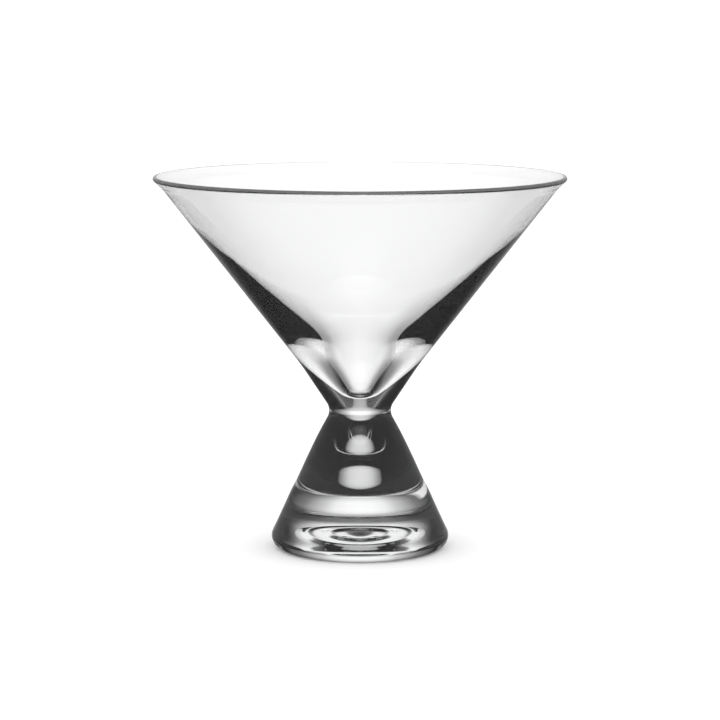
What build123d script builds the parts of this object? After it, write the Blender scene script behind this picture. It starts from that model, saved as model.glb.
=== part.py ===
"""Short-stemmed martini glass: a conical bowl fused hot onto a solid conical foot.

Millimetres, +Z up. The origin is on the axis of revolution, in the plane that the foot
rests on. Both pieces are solids of revolution about +Z.
"""

from build123d import *

import os
from math import cos, radians, sin, tan

# Overall size
HEIGHT = 109.5

# Foot: a solid cone, widest near the floor, with a faint step in its side
FOOT_CORNER_RADIUS = 28.05  # where the side would meet the floor if it were left sharp
FOOT_EDGE_ROUND = 3.5
FOOT_SIDE = [  # radius, height and round where the slope of the side changes a little
    (23.82, 9.0, 150.0),
    (20.17, 17.2, 45.0),
    (18.37, 20.6, 45.0),
    (15.49, 27.0, 150.0),
    (12.16, 34.0, 110.0),
]
HOLLOW_RADIUS = 19.0  # shallow hollow in the underside, so that only a ring touches
HOLLOW_DEPTH = 1.0

# Waist, where foot and bowl are fused together
WAIST_CORNER_RADIUS = 8.41  # where the two cones would cross
WAIST_CORNER_Z = 40.77
WAIST_ROUND = 4.2
SEAM_Z = 40.6  # the narrowest section, about 18 mm across

# Outside of the bowl
SHOULDER_RADIUS = 17.54
SHOULDER_Z = 54.6
SHOULDER_ROUND = 80.0
BOWL_HALF_ANGLE = 37.8  # degrees from the axis
LIP_FLARE_Z = 106.0
LIP_CORNER_RADIUS = 61.15  # where the flared lip would meet the rim plane
LIP_FLARE_ROUND = 8.0
LIP_ROUND = 0.74

# Inside of the bowl
WALL = 1.5
WALL_SWELL_Z = 82.0  # below this the wall thickens quickly
WALL_SWELL_RADIAL = 2.2  # wall thickness there, before rounding, measured along the radius
WALL_SWELL_ROUND = 250.0
CAVITY_BOTTOM_Z = 47.2
CAVITY_BOTTOM_ROUND = 5.0
CAVITY_LOW_HALF_ANGLE = 39.0
CAVITY_KNEE_Z = 60.0
CAVITY_KNEE_ROUND = 120.0


def bowl_outer_radius(z):
    """Radius of the straight outer cone of the bowl at height z."""
    return SHOULDER_RADIUS + (z - SHOULDER_Z) * tan(radians(BOWL_HALF_ANGLE))


def outside_corners():
    """Sharp corners of the outside, from the resting ring up to the rim, with their rounds."""
    corners = [
        (FOOT_CORNER_RADIUS, 0),
        *[(radius, z) for radius, z, _ in FOOT_SIDE],
        (WAIST_CORNER_RADIUS, WAIST_CORNER_Z),
        (SHOULDER_RADIUS, SHOULDER_Z),
        (bowl_outer_radius(LIP_FLARE_Z), LIP_FLARE_Z),
        (LIP_CORNER_RADIUS, HEIGHT),
    ]
    rounds = [
        FOOT_EDGE_ROUND,
        *[bend for _, _, bend in FOOT_SIDE],
        WAIST_ROUND,
        SHOULDER_ROUND,
        LIP_FLARE_ROUND,
        LIP_ROUND,
    ]
    return corners, rounds


def inside_corners():
    """Sharp corners of the inside, from the rim down to the bottom of the cavity."""
    flare_slope = (LIP_CORNER_RADIUS - bowl_outer_radius(LIP_FLARE_Z)) / (HEIGHT - LIP_FLARE_Z)
    flare_wall = WALL * (1 + flare_slope**2) ** 0.5
    rim_radius = LIP_CORNER_RADIUS - flare_wall
    swell_radius = bowl_outer_radius(WALL_SWELL_Z) - WALL_SWELL_RADIAL

    # The inner flare starts where its line is one wall inside the outer cone.
    cone_slope = tan(radians(BOWL_HALF_ANGLE))
    cone_wall = WALL / cos(radians(BOWL_HALF_ANGLE))
    gap_at_rim = rim_radius - (bowl_outer_radius(HEIGHT) - cone_wall)
    flare_z = HEIGHT - gap_at_rim / (flare_slope - cone_slope)
    flare_radius = bowl_outer_radius(flare_z) - cone_wall

    low_slope = tan(radians(CAVITY_LOW_HALF_ANGLE))
    tangent_radius, tangent_z = cavity_tangent()
    knee_radius = tangent_radius + (CAVITY_KNEE_Z - tangent_z) * low_slope

    corners = [
        (rim_radius, HEIGHT),
        (flare_radius, flare_z),
        (swell_radius, WALL_SWELL_Z),
        (knee_radius, CAVITY_KNEE_Z),
    ]
    rounds = [LIP_ROUND, LIP_FLARE_ROUND, WALL_SWELL_ROUND, CAVITY_KNEE_ROUND]
    return corners, rounds


def cavity_tangent():
    """Where the rounded bottom of the cavity runs into its lowest cone."""
    angle = radians(CAVITY_LOW_HALF_ANGLE)
    centre_z = CAVITY_BOTTOM_Z + CAVITY_BOTTOM_ROUND
    return CAVITY_BOTTOM_ROUND * cos(angle), centre_z - CAVITY_BOTTOM_ROUND * sin(angle)


def spherical_arc(edge, apex_z):
    """Arc from a point off the axis to the axis, meeting the axis squarely."""
    edge_radius, edge_z = edge
    rise = apex_z - edge_z
    sphere_radius = (edge_radius**2 + rise**2) / (2 * abs(rise))
    centre_z = apex_z - sphere_radius * (1 if rise > 0 else -1)
    half_z = (edge_z + apex_z) / 2
    half_radius = (sphere_radius**2 - (half_z - centre_z) ** 2) ** 0.5
    return ThreePointArc((edge_radius, edge_z), (half_radius, half_z), (0, apex_z))


def whole_glass():
    """The fused glass as one solid of revolution."""
    outside, outside_rounds = outside_corners()
    inside, inside_rounds = inside_corners()
    ring_start = (HOLLOW_RADIUS, 0)
    cavity_end = cavity_tangent()
    with BuildPart() as glass:
        with BuildSketch(Plane.XZ):
            with BuildLine():
                spherical_arc(ring_start, HOLLOW_DEPTH)
                FilletPolyline(
                    ring_start,
                    *outside,
                    *inside,
                    cavity_end,
                    radius=outside_rounds + inside_rounds,
                )
                spherical_arc(cavity_end, CAVITY_BOTTOM_Z)
                Line((0, CAVITY_BOTTOM_Z), (0, HOLLOW_DEPTH))
            make_face()
        revolve(axis=Axis.Z)
    return glass.part


def main():
    os.makedirs("parts", exist_ok=True)
    glass = whole_glass()
    seam = Plane.XY.offset(SEAM_Z)
    foot = split(glass, bisect_by=seam, keep=Keep.BOTTOM)
    bowl = split(glass, bisect_by=seam, keep=Keep.TOP)
    export_step(foot, "parts/foot.step")
    export_step(bowl, "parts/bowl.step")


main()
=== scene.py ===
"""Looks of the short-stemmed martini glass: a clear conical bowl fused onto a solid conical foot.

Metres, +Z up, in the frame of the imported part. Both pieces are spun from one outline, so
that they meet exactly at the fused waist. The light is a soft white studio. The eye and the
table see it evenly bright. The glass sees soft-edged panels in it, which differ with whether
a ray went straight through, was mirrored inside the glass or was mirrored on its outside.
"""

from math import atan2, ceil, cos, exp, pi, radians, sin, sqrt, tan

import bpy
import numpy as np
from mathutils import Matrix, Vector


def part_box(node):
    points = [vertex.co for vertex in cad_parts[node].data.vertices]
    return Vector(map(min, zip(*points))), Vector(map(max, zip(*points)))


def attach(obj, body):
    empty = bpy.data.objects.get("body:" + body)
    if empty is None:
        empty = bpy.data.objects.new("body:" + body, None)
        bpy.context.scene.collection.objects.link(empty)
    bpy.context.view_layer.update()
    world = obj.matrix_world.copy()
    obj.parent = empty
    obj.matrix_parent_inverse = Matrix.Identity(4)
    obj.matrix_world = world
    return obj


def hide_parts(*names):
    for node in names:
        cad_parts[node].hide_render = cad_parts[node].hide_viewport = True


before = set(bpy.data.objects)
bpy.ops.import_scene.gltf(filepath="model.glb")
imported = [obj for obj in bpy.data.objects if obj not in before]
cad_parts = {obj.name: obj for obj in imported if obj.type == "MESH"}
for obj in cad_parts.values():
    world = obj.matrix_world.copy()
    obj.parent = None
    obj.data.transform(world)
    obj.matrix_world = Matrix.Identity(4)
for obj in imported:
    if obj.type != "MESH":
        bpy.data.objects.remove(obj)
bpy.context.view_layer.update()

MM = 0.001

# ---- Outline of the glass, as in the CAD part but for the hollow under the foot ---------

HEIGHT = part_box("bowl")[1].z
SEAM_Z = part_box("foot")[1].z

FOOT_CORNER_RADIUS = 28.05 * MM
FOOT_EDGE_ROUND = 3.5 * MM
FOOT_SIDE = [  # radius, height and round where the slope of the side changes a little
    (23.82 * MM, 9.0 * MM, 150 * MM),
    (20.17 * MM, 17.2 * MM, 45 * MM),
    (18.37 * MM, 20.6 * MM, 45 * MM),
    (15.49 * MM, 27.0 * MM, 150 * MM),
    (12.16 * MM, 34.0 * MM, 110 * MM),
]
HOLLOW_RADIUS = 19.0 * MM

WAIST_CORNER_RADIUS = 8.41 * MM
WAIST_CORNER_Z = 40.77 * MM
WAIST_ROUND = 4.2 * MM

SHOULDER_RADIUS = 17.54 * MM
SHOULDER_Z = 54.6 * MM
SHOULDER_ROUND = 80 * MM
BOWL_HALF_ANGLE = radians(37.8)
LIP_FLARE_Z = 106 * MM
LIP_CORNER_RADIUS = 61.15 * MM
LIP_FLARE_ROUND = 8 * MM
LIP_ROUND = 0.74 * MM

WALL = 1.5 * MM
WALL_SWELL_Z = 82.0 * MM
WALL_SWELL_RADIAL = 2.2 * MM
WALL_SWELL_ROUND = 250 * MM
CAVITY_BOTTOM_Z = 47.2 * MM
CAVITY_BOTTOM_ROUND = 5.0 * MM
CAVITY_LOW_HALF_ANGLE = radians(39)
CAVITY_KNEE_Z = 60.0 * MM
CAVITY_KNEE_ROUND = 120 * MM

# Hollow under the foot: a low dome, dented in the middle, with two fine round ridges
HOLLOW_RISE = 0.3 * MM
DOME_RADIUS = 13.0 * MM
DOME_RISE = 1.5 * MM
DENT_WIDTH = 4.0 * MM
RIDGE_RADII = (6.0 * MM, 10.5 * MM)
RIDGE_RISE = 0.6 * MM
RIDGE_WIDTH = 0.8 * MM

# ---- Mesh density ----------------------------------------------------------------------

SEGMENTS = 448
ROW_STEP = 1.2 * MM
UNDERSIDE_STEP = 0.15 * MM
ROUND_STEP = radians(6)
CAVITY_BOTTOM_STEPS = 24

# ---- Camera ----------------------------------------------------------------------------

CAMERA_DISTANCE = 0.8
CAMERA_ELEVATION = radians(8.07)
CAMERA_TARGET_Z = 0.506 * HEIGHT
SENSOR_MM = 36
LENS_MM = 136.7

# ---- Glass -----------------------------------------------------------------------------

GLASS_INDEX = 1.52
CLARITY = 0.984  # the rest is haze
# The lip's extra haze is painted light: it lightens the rim in place of the light piped round inside
# the rounded lip.
LIP_PAINTED_LIGHT_CLARITY = 0.88
BOWL_TINT = (0.995, 0.996, 0.997)
FOOT_TINT = (0.9, 0.903, 0.907)
TINT_DEPTH = 0.99  # the tint is multiplied by this where it is deepest
TINT_SCALE = 30
WAVE_SCALE = (14, 14, 120)  # drawn out round the axis, and close together up the height
BOWL_WAVES = 0.03 * MM
FOOT_WAVES = 0.01 * MM
GROUND_Z = 0.02 * MM  # ground up to here, and polished from the next height on
POLISHED_Z = 0.2 * MM
GROUND_ROUGHNESS = 0.3

# ---- Studio ----------------------------------------------------------------------------

TABLE_REACH = 30.0
TABLE_WHITE = 0.92

OPEN_LIGHT = 1.5  # what the eye and the table see, the same all round
PANEL_LIGHT = 1.18  # what the glass sees in a panel of brightness 1
DARK_LIGHT = 0.008  # what it sees besides, everywhere

# Panels, as stops of (degrees, brightness). ACROSS is the direction round the glass, with 0
# behind it and 180 in front. It is the same to the left and the right, except for the corner,
# which lies to the left alone. UP is the angle above the horizon.

# What shows straight through the glass: a panel behind it, the table at its sides and in front,
# one corner, and what lies beneath
BEHIND_ACROSS = [(0, 1), (6, 0.98), (12, 0.88), (18, 0.6), (24, 0.4), (32, 0.18), (42, 0.08), (50, 0)]
BEHIND_UP = [
    (-74, 0),
    (-66, 0.92),
    (-48, 0.92),
    (-42, 0.72),
    (-34, 0.8),
    (-24, 1),
    (-4, 1),
    (6, 0.85),
    (16, 0.62),
    (60, 0.6),
    (75, 0.3),
]
TABLE_ACROSS = [(56, 0), (74, 1)]
TABLE_UP = [(-48, 0), (-38, 1), (0, 1), (6, 0)]
CORNER_ACROSS = [(-74, 0), (-62, 0.85), (-44, 0.85), (-36, 0)]
CORNER_UP = [(-48, 0), (-38, 1), (-20, 1), (-16, 0)]
BENEATH_UP = [(-90, 0.95), (-66, 0.95), (-58, 0)]

# What shows after mirroring inside the glass: nothing at the sides, so that thick parts stay dark
LOW_ACROSS = [(0, 1), (16, 0.9), (28, 0.42), (40, 0.22), (50, 0)]
LOW_UP = [(-62, 0), (-50, 0.6), (-26, 1), (0, 1), (3, 0)]
HIGH_ACROSS = [(0, 0.95), (16, 0.88), (25, 0.62), (32, 0.36), (38, 0.1), (44, 0)]
HIGH_UP = [(-2, 0), (4, 1), (32, 1), (42, 0.2), (60, 0)]
FRONT_ACROSS = [(145, 0), (158, 0.5)]
FRONT_UP = [(16, 0), (24, 1), (58, 1), (66, 0)]

# What the outside of the glass mirrors: dim, so that the edges stay dark
SHEEN_ACROSS = [(0, 0.6), (24, 0.2), (60, 0.1), (180, 0.1)]
SHEEN_UP = [(-30, 0), (-10, 1), (20, 1), (50, 0.3)]


def outer_cone_radius(z):
    """Radius of the straight outer cone of the bowl at height z."""
    return SHOULDER_RADIUS + (z - SHOULDER_Z) * tan(BOWL_HALF_ANGLE)


def outside_corners():
    """Sharp corners of the outside, from the resting ring up to the rim, with their rounds."""
    return [
        (FOOT_CORNER_RADIUS, 0, FOOT_EDGE_ROUND),
        *FOOT_SIDE,
        (WAIST_CORNER_RADIUS, WAIST_CORNER_Z, WAIST_ROUND),
        (SHOULDER_RADIUS, SHOULDER_Z, SHOULDER_ROUND),
        (outer_cone_radius(LIP_FLARE_Z), LIP_FLARE_Z, LIP_FLARE_ROUND),
        (LIP_CORNER_RADIUS, HEIGHT, LIP_ROUND),
    ]


def cavity_tangent():
    """Where the rounded bottom of the cavity runs into its lowest cone."""
    centre_z = CAVITY_BOTTOM_Z + CAVITY_BOTTOM_ROUND
    radius = CAVITY_BOTTOM_ROUND * cos(CAVITY_LOW_HALF_ANGLE)
    return radius, centre_z - CAVITY_BOTTOM_ROUND * sin(CAVITY_LOW_HALF_ANGLE)


def inside_corners():
    """Sharp corners of the inside, from the rim down to the rounded bottom of the cavity."""
    flare_slope = (LIP_CORNER_RADIUS - outer_cone_radius(LIP_FLARE_Z)) / (HEIGHT - LIP_FLARE_Z)
    rim_radius = LIP_CORNER_RADIUS - WALL * sqrt(1 + flare_slope**2)
    cone_wall = WALL / cos(BOWL_HALF_ANGLE)
    gap_at_rim = rim_radius - (outer_cone_radius(HEIGHT) - cone_wall)
    flare_z = HEIGHT - gap_at_rim / (flare_slope - tan(BOWL_HALF_ANGLE))
    tangent_radius, tangent_z = cavity_tangent()
    knee_radius = tangent_radius + (CAVITY_KNEE_Z - tangent_z) * tan(CAVITY_LOW_HALF_ANGLE)
    return [
        (rim_radius, HEIGHT, LIP_ROUND),
        (outer_cone_radius(flare_z) - cone_wall, flare_z, LIP_FLARE_ROUND),
        (outer_cone_radius(WALL_SWELL_Z) - WALL_SWELL_RADIAL, WALL_SWELL_Z, WALL_SWELL_ROUND),
        (knee_radius, CAVITY_KNEE_Z, CAVITY_KNEE_ROUND),
    ]


def straight(start, end):
    """Evenly spaced points from start up to, but not including, end."""
    length = sqrt((end[0] - start[0]) ** 2 + (end[1] - start[1]) ** 2)
    count = max(1, ceil(length / ROW_STEP))
    return [
        (start[0] + (end[0] - start[0]) * i / count, start[1] + (end[1] - start[1]) * i / count)
        for i in range(count)
    ]


def rounded(start, corners, end):
    """Points along start, the rounded corners and end, without end itself."""
    stops = [start] + [(r, z) for r, z, _ in corners] + [end]
    outline = []
    last = start
    for i, (r, z, radius) in enumerate(corners):
        before, after = stops[i], stops[i + 2]
        back = atan2(before[1] - z, before[0] - r)
        on = atan2(after[1] - z, after[0] - r)
        turn = (on - back + pi) % (2 * pi) - pi
        half = abs(turn) / 2
        reach = radius / tan(half)
        middle = back + turn / 2
        centre = (r + radius / sin(half) * cos(middle), z + radius / sin(half) * sin(middle))
        first = (r + reach * cos(back), z + reach * sin(back))
        second = (r + reach * cos(on), z + reach * sin(on))
        outline += straight(last, first)
        angle = atan2(first[1] - centre[1], first[0] - centre[0])
        sweep = (atan2(second[1] - centre[1], second[0] - centre[0]) - angle + pi) % (2 * pi) - pi
        count = max(2, ceil(abs(sweep) / ROUND_STEP), ceil(abs(sweep) * radius / ROW_STEP))
        for j in range(count):
            a = angle + sweep * j / count
            outline.append((centre[0] + radius * cos(a), centre[1] + radius * sin(a)))
        last = second
    return outline + straight(last, end)


def underside():
    """The hollow under the foot, from the axis out to the resting ring, with its ridges."""
    count = ceil(HOLLOW_RADIUS / UNDERSIDE_STEP)
    points = []
    for i in range(count):
        radius = HOLLOW_RADIUS * i / count
        z = HOLLOW_RISE * (1 - (radius / HOLLOW_RADIUS) ** 2)
        z += DOME_RISE * max(0, 1 - (radius / DOME_RADIUS) ** 2)
        z -= DOME_RISE * exp(-((radius / DENT_WIDTH) ** 2))
        for ridge in RIDGE_RADII:
            z += RIDGE_RISE * exp(-(((radius - ridge) / RIDGE_WIDTH) ** 2))
        points.append((radius, z))
    return points


def cavity_bottom():
    """The rounded bottom of the cavity, from its tangent point in to the axis."""
    centre_z = CAVITY_BOTTOM_Z + CAVITY_BOTTOM_ROUND
    start = CAVITY_LOW_HALF_ANGLE
    points = []
    for i in range(CAVITY_BOTTOM_STEPS + 1):
        angle = start + (pi / 2 - start) * i / CAVITY_BOTTOM_STEPS
        points.append((CAVITY_BOTTOM_ROUND * cos(angle), centre_z - CAVITY_BOTTOM_ROUND * sin(angle)))
    points[-1] = (0, CAVITY_BOTTOM_Z)
    return points


def glass_outline():
    """Whole outline (radius, z) from the middle of the underside to the bottom of the cavity.

    It comes with the index of its point on the seam.
    """
    ring = (HOLLOW_RADIUS, 0)
    walls = rounded(ring, outside_corners() + inside_corners(), cavity_tangent())
    outline = underside() + walls + cavity_bottom()
    for i in range(len(outline) - 1):
        (r0, z0), (r1, z1) = outline[i], outline[i + 1]
        if z0 < SEAM_Z <= z1:
            share = (SEAM_Z - z0) / (z1 - z0)
            seam = (r0 + (r1 - r0) * share, SEAM_Z)
            return outline[: i + 1] + [seam] + outline[i + 1 :], i + 1
    raise ValueError("the outline doesn't cross the seam")


def spin_grid(outline):
    """Points and outward normals of the spun outline, as arrays of (row, segment, xyz)."""
    rows = np.array(outline)
    turns = np.arange(SEGMENTS) * 2 * pi / SEGMENTS
    points = np.empty((len(rows), SEGMENTS, 3))
    points[..., 0] = rows[:, :1] * np.cos(turns)
    points[..., 1] = rows[:, :1] * np.sin(turns)
    points[..., 2] = rows[:, 1:]
    along = np.empty_like(points)
    along[1:-1] = points[2:] - points[:-2]
    along[0] = points[1] - points[0]
    along[-1] = points[-1] - points[-2]
    around = np.roll(points, -1, axis=1) - np.roll(points, 1, axis=1)

    # The poles get their normals last, because their cross products are zero.
    normals = np.cross(around, along)
    lengths = np.linalg.norm(normals, axis=2, keepdims=True)
    normals = normals / np.maximum(lengths, 1e-12)
    normals[0] = (0, 0, -1)
    normals[-1] = (0, 0, 1)
    return points, normals


def add_piece(name, points, normals, pole_first):
    """A closed spun mesh: a pole at one end, rings, and a flat cap on the seam at the other.

    points and normals run from the pole up to the seam if pole_first, else from the seam to the
    pole. The cap then looks up or down.
    """
    if not pole_first:
        points, normals = points[::-1], normals[::-1]
    rings = points[1:]
    ring_normals = normals[1:]
    count = len(rings)
    vertices = [tuple(points[0, 0])] + [tuple(p) for ring in rings for p in ring]
    vertex_normals = [tuple(normals[0, 0])] + [tuple(n) for ring in ring_normals for n in ring]
    seam_z = float(rings[-1, 0, 2])
    vertices.append((0.0, 0.0, seam_z))
    centre = len(vertices) - 1

    def ring_vertex(row, segment):
        return 1 + row * SEGMENTS + segment % SEGMENTS

    faces = []
    for s in range(SEGMENTS):
        faces.append((0, ring_vertex(0, s + 1), ring_vertex(0, s)))
    for row in range(count - 1):
        for s in range(SEGMENTS):
            faces.append(
                (
                    ring_vertex(row, s),
                    ring_vertex(row, s + 1),
                    ring_vertex(row + 1, s + 1),
                    ring_vertex(row + 1, s),
                )
            )
    wall_faces = len(faces)
    for s in range(SEGMENTS):
        faces.append((centre, ring_vertex(count - 1, s), ring_vertex(count - 1, s + 1)))
    if not pole_first:
        faces = [face[::-1] for face in faces]

    mesh = bpy.data.meshes.new(name)
    mesh.from_pydata(vertices, [], faces)
    mesh.polygons.foreach_set("use_smooth", [True] * len(faces))
    mesh.polygons.foreach_set("material_index", [0] * wall_faces + [1] * SEGMENTS)
    cap_normal = (0, 0, 1) if pole_first else (0, 0, -1)
    loop_normals = []
    for index, face in enumerate(faces):
        for vertex in face:
            loop_normals.append(vertex_normals[vertex] if index < wall_faces else cap_normal)
    mesh.normals_split_custom_set(loop_normals)
    mesh.update()
    piece = bpy.data.objects.new(name, mesh)
    bpy.context.scene.collection.objects.link(piece)
    return piece


def new_material(name):
    """An empty node material, with its nodes and links."""
    material = bpy.data.materials.new(name)
    material.use_nodes = True
    nodes = material.node_tree.nodes
    nodes.clear()
    return material, nodes, material.node_tree.links


def glass_material(name, tint, wave_height, clarity):
    """Clear glass: faint melt waves round the axis, a ground resting ring, a breath of haze."""
    material, nodes, links = new_material(name)
    output = nodes.new("ShaderNodeOutputMaterial")
    shader = nodes.new("ShaderNodeBsdfPrincipled")
    shader.inputs["IOR"].default_value = GLASS_INDEX
    # Clarity under 1 leaves a diffuse haze. Where it is low, as on the lip, that haze is painted
    # light that lightens the glass.
    shader.inputs["Transmission Weight"].default_value = clarity

    # Waves in the surface, as the melt left them.
    place = nodes.new("ShaderNodeTexCoord").outputs["Object"]
    stretch = nodes.new("ShaderNodeMapping")
    links.new(place, stretch.inputs["Vector"])
    stretch.inputs["Scale"].default_value = WAVE_SCALE
    waves = nodes.new("ShaderNodeTexNoise")
    links.new(stretch.outputs["Vector"], waves.inputs["Vector"])
    waves.inputs["Scale"].default_value = 1
    waves.inputs["Detail"].default_value = 1
    bump = nodes.new("ShaderNodeBump")
    links.new(waves.outputs["Fac"], bump.inputs["Height"])
    bump.inputs["Strength"].default_value = 1
    bump.inputs["Distance"].default_value = wave_height
    links.new(bump.outputs["Normal"], shader.inputs["Normal"])

    # Colour: a trace of grey that comes and goes over centimetres.
    melt = nodes.new("ShaderNodeTexNoise")
    links.new(place, melt.inputs["Vector"])
    melt.inputs["Scale"].default_value = TINT_SCALE
    colour = nodes.new("ShaderNodeMix")
    colour.data_type = "RGBA"
    links.new(melt.outputs["Fac"], colour.inputs["Factor"])
    colour.inputs["A"].default_value = (*tint, 1)
    colour.inputs["B"].default_value = (*(value * TINT_DEPTH for value in tint), 1)
    links.new(colour.outputs["Result"], shader.inputs["Base Color"])

    # Polish: clear everywhere but on the ring that rests on the table.
    height = nodes.new("ShaderNodeSeparateXYZ")
    links.new(place, height.inputs[0])
    ground = nodes.new("ShaderNodeMapRange")
    links.new(height.outputs["Z"], ground.inputs["Value"])
    ground.inputs["From Min"].default_value = GROUND_Z
    ground.inputs["From Max"].default_value = POLISHED_Z
    ground.inputs["To Min"].default_value = GROUND_ROUGHNESS
    ground.inputs["To Max"].default_value = 0
    links.new(ground.outputs["Result"], shader.inputs["Roughness"])
    links.new(shader.outputs["BSDF"], output.inputs["Surface"])
    return material


def seam_material():
    """The melted bond across the waist, which light passes as if it weren't there."""
    material, nodes, links = new_material("fused_seam")
    output = nodes.new("ShaderNodeOutputMaterial")
    shader = nodes.new("ShaderNodeBsdfTransparent")
    links.new(shader.outputs["BSDF"], output.inputs["Surface"])
    return material


def set_lip_material(piece, material):
    """Give the rounded lip a material of its own, whose extra haze is painted light: it lightens the
    rim in place of the light piped round inside the lip.
    """
    piece.data.materials.append(material)
    slot = len(piece.data.materials) - 1
    for face in piece.data.polygons:
        if face.center.z > HEIGHT - LIP_ROUND:
            face.material_index = slot


def add_floor():
    """A plain white table top, which rays from the glass don't see."""
    mesh = bpy.data.meshes.new("floor")
    directions = [(-1, -1), (1, -1), (1, 1), (-1, 1)]
    corners = [(x * TABLE_REACH, y * TABLE_REACH, 0) for x, y in directions]
    mesh.from_pydata(corners, [], [(0, 1, 2, 3)])
    floor = bpy.data.objects.new("floor", mesh)
    bpy.context.scene.collection.objects.link(floor)
    material, nodes, links = new_material("table_white")
    output = nodes.new("ShaderNodeOutputMaterial")
    shader = nodes.new("ShaderNodeBsdfDiffuse")
    shader.inputs["Color"].default_value = (TABLE_WHITE, TABLE_WHITE, TABLE_WHITE, 1)
    links.new(shader.outputs["BSDF"], output.inputs["Surface"])
    mesh.materials.append(material)
    floor.visible_transmission = False
    floor.visible_glossy = False


def feed(links, socket, value):
    """Give a node's input its value, which is a number or another node's output."""
    if isinstance(value, (int, float)):
        socket.default_value = value
    else:
        links.new(value, socket)


def maths(nodes, links, operation, *values):
    """The result of a Math node on the values."""
    node = nodes.new("ShaderNodeMath")
    node.operation = operation
    for socket, value in zip(node.inputs, values):
        feed(links, socket, value)
    return node.outputs[0]


def blend(nodes, links, share, a, b):
    """a where share is 0, b where it is 1."""
    node = nodes.new("ShaderNodeMix")
    node.data_type = "FLOAT"
    feed(links, node.inputs["Factor"], share)
    feed(links, node.inputs["A"], a)
    feed(links, node.inputs["B"], b)
    return node.outputs["Result"]


def graded(nodes, links, value, stops):
    """Brightness of a socket along straight lines between stops of (value, brightness)."""
    low, high = stops[0][0], stops[-1][0]
    share = nodes.new("ShaderNodeMapRange")
    links.new(value, share.inputs["Value"])
    share.inputs["From Min"].default_value = low
    share.inputs["From Max"].default_value = high
    grey = nodes.new("ShaderNodeValToRGB")
    links.new(share.outputs["Result"], grey.inputs["Fac"])
    elements = grey.color_ramp.elements
    elements.remove(elements[1])
    elements[0].position = 0
    elements[0].color = (stops[0][1], stops[0][1], stops[0][1], 1)
    for position, brightness in stops[1:]:
        element = elements.new((position - low) / (high - low))
        element.color = (brightness, brightness, brightness, 1)
    return grey.outputs["Color"]


def panel(nodes, links, azimuth, elevation, across, up):
    """A soft-edged white panel: brightness across the azimuth times brightness up the height."""
    wide = graded(nodes, links, azimuth, across)
    high = graded(nodes, links, elevation, up)
    return maths(nodes, links, "MULTIPLY", wide, high)


def brightest(nodes, links, panels):
    """The brightest of several panels in each direction."""
    room = panels[0]
    for other in panels[1:]:
        room = maths(nodes, links, "MAXIMUM", room, other)
    return room


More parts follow.
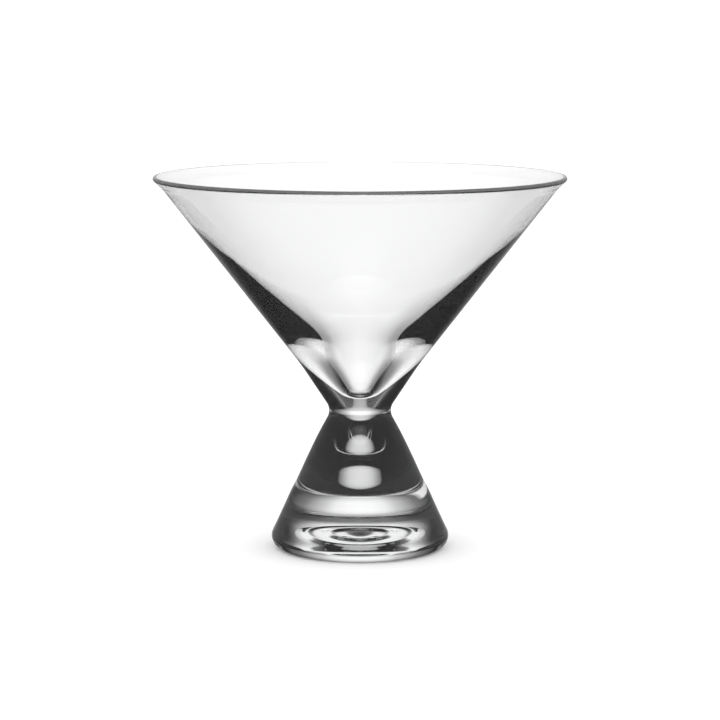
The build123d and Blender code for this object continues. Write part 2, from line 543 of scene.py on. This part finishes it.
def add_studio():
    """World light: even white to the eye and to the table, and a room of panels to the glass."""
    world = bpy.data.worlds.new("studio")
    bpy.context.scene.world = world
    world.use_nodes = True
    nodes = world.node_tree.nodes
    links = world.node_tree.links
    nodes.clear()
    direction = nodes.new("ShaderNodeTexCoord").outputs["Generated"]
    split = nodes.new("ShaderNodeSeparateXYZ")
    links.new(direction, split.inputs[0])
    x, y, z = split.outputs
    elevation = maths(nodes, links, "MULTIPLY", maths(nodes, links, "ARCSINE", z), 180 / pi)
    azimuth = maths(nodes, links, "MULTIPLY", maths(nodes, links, "ARCTAN2", x, y), 180 / pi)
    aside = maths(nodes, links, "ABSOLUTE", azimuth)

    behind = panel(nodes, links, aside, elevation, BEHIND_ACROSS, BEHIND_UP)
    table = panel(nodes, links, aside, elevation, TABLE_ACROSS, TABLE_UP)
    corner = panel(nodes, links, azimuth, elevation, CORNER_ACROSS, CORNER_UP)
    beneath = graded(nodes, links, elevation, BENEATH_UP)
    direct = brightest(nodes, links, [behind, table, corner, beneath])
    low = panel(nodes, links, aside, elevation, LOW_ACROSS, LOW_UP)
    high = panel(nodes, links, aside, elevation, HIGH_ACROSS, HIGH_UP)
    front = panel(nodes, links, aside, elevation, FRONT_ACROSS, FRONT_UP)
    inside = brightest(nodes, links, [low, high, front])
    outside = panel(nodes, links, aside, elevation, SHEEN_ACROSS, SHEEN_UP)

    # The depths are whole numbers, so more than a half means at least once.
    path = nodes.new("ShaderNodeLightPath")
    has_mirrored = maths(nodes, links, "GREATER_THAN", path.outputs["Glossy Depth"], 0.5)
    has_entered = maths(nodes, links, "GREATER_THAN", path.outputs["Transmission Depth"], 0.5)
    mirrored = blend(nodes, links, has_entered, outside, inside)
    room = blend(nodes, links, has_mirrored, direct, mirrored)
    level = maths(nodes, links, "MULTIPLY_ADD", room, PANEL_LIGHT, DARK_LIGHT)

    through = maths(
        nodes, links, "MAXIMUM", path.outputs["Is Glossy Ray"], path.outputs["Is Transmission Ray"]
    )
    strength = blend(nodes, links, through, OPEN_LIGHT, level)
    background = nodes.new("ShaderNodeBackground")
    background.inputs["Color"].default_value = (1, 1, 1, 1)
    links.new(strength, background.inputs["Strength"])
    output = nodes.new("ShaderNodeOutputWorld")
    links.new(background.outputs[0], output.inputs["Surface"])


def add_camera():
    """The eye: in front of the glass, a little above the rim, looking slightly down."""
    data = bpy.data.cameras.new("camera")
    data.sensor_width = SENSOR_MM
    data.lens = LENS_MM
    camera = bpy.data.objects.new("camera", data)
    bpy.context.scene.collection.objects.link(camera)
    back = CAMERA_DISTANCE * cos(CAMERA_ELEVATION)
    rise = CAMERA_DISTANCE * sin(CAMERA_ELEVATION)
    camera.location = (0, -back, CAMERA_TARGET_Z + rise)
    camera.rotation_euler = (pi / 2 - CAMERA_ELEVATION, 0, 0)
    bpy.context.scene.camera = camera


add_camera()
add_studio()
add_floor()

outline, seam_row = glass_outline()
points, normals = spin_grid(outline)
foot = add_piece("glass_foot", points[: seam_row + 1], normals[: seam_row + 1], pole_first=True)
bowl = add_piece("glass_bowl", points[seam_row:], normals[seam_row:], pole_first=False)
seam = seam_material()
for piece, node, tint, wave_height in (
    (bowl, "bowl", BOWL_TINT, BOWL_WAVES),
    (foot, "foot", FOOT_TINT, FOOT_WAVES),
):
    piece.data.materials.append(glass_material(node + "_glass", tint, wave_height, CLARITY))
    piece.data.materials.append(seam)
    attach(piece, "root")
    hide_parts(node)
# The lip's glass has more haze, which paints the rim lighter in place of the light piped round inside
# it.
set_lip_material(bowl, glass_material("lip_painted_light_glass", BOWL_TINT, BOWL_WAVES, LIP_PAINTED_LIGHT_CLARITY))

bpy.context.scene.view_settings.view_transform = "Standard"
